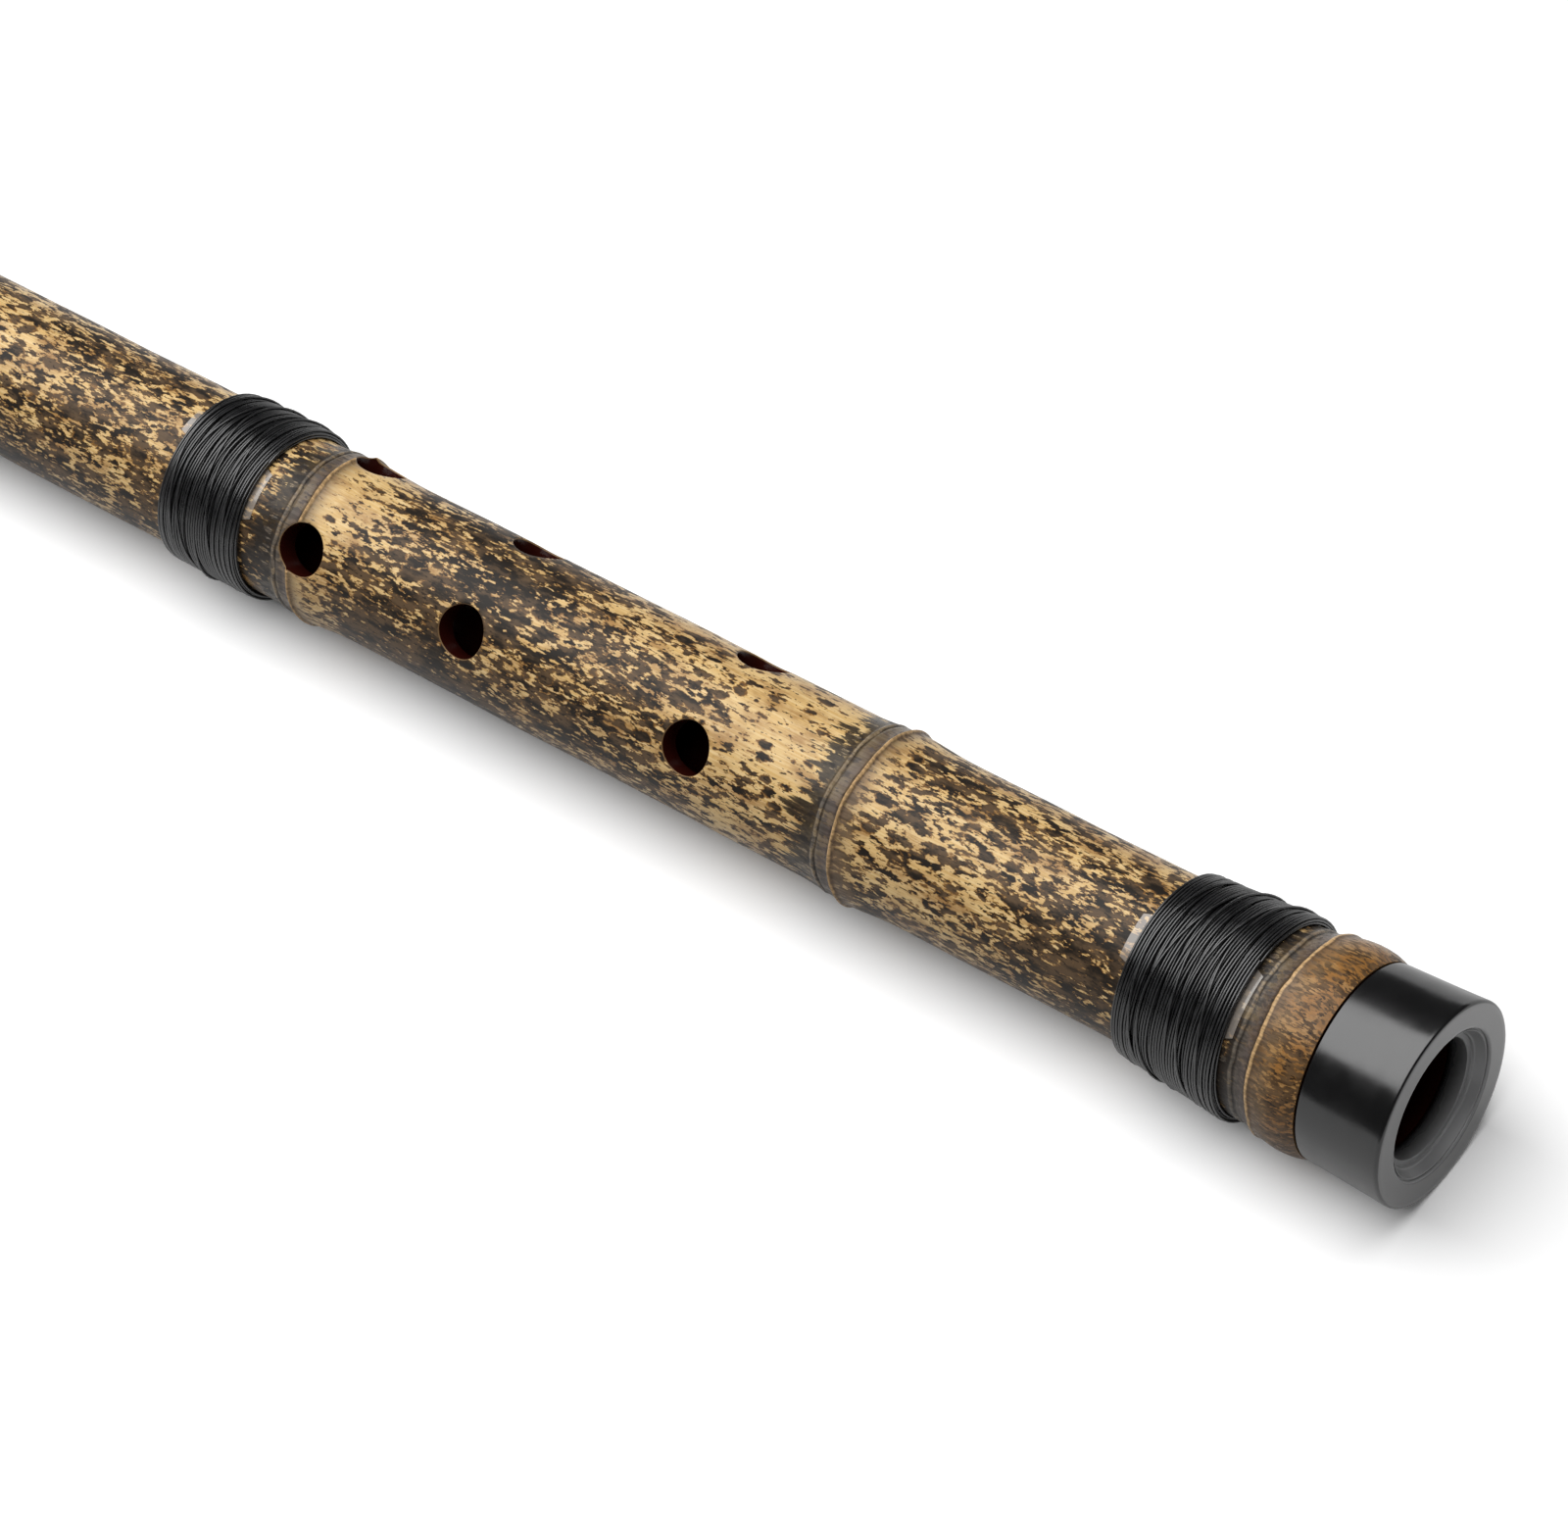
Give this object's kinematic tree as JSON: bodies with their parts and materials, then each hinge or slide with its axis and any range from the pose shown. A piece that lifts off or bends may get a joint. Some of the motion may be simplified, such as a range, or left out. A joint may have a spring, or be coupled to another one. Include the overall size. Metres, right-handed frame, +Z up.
{
  "type": "end-blown bamboo flute",
  "caption": "End-blown notched flute of mottled bamboo with black horn end caps, thread bindings, front and thumb holes and paired vents; lies on its front.",
  "frame": {"origin": "centre of the flute's length and width, on the surface that it lies on", "axes": "+X runs along the flute to its foot, +Z is up and towards the thumb hole and vents, the finger holes and notch face -Z"},
  "size_m": [0.7516, 0.0308, 0.0307],
  "materials": {
    "mottled_bamboo": "glossy lacquer over yellow-tan bamboo with dense brown-black mottling",
    "black_horn": "polished black horn",
    "black_thread": "waxed black thread with a soft sheen",
    "clear_film": "thin clear glossy film"
  },
  "bodies": {
    "root": {"bamboo_tube": "mottled_bamboo", "foot_cap": "black_horn", "head_cap": "black_horn", "foot_binding_film": "clear_film", "foot_binding_inner_turns": "black_thread", "foot_binding_outer_turns": "black_thread", "vent_binding_film": "clear_film", "vent_binding_inner_turns": "black_thread", "vent_binding_outer_turns": "black_thread", "middle_binding_film": "clear_film", "middle_binding_inner_turns": "black_thread", "middle_binding_outer_turns": "black_thread", "upper_binding_film": "clear_film", "upper_binding_inner_turns": "black_thread", "upper_binding_outer_turns": "black_thread", "head_binding_film": "clear_film", "head_binding_inner_turns": "black_thread", "head_binding_outer_turns": "black_thread"}
  },
  "joints": []
}
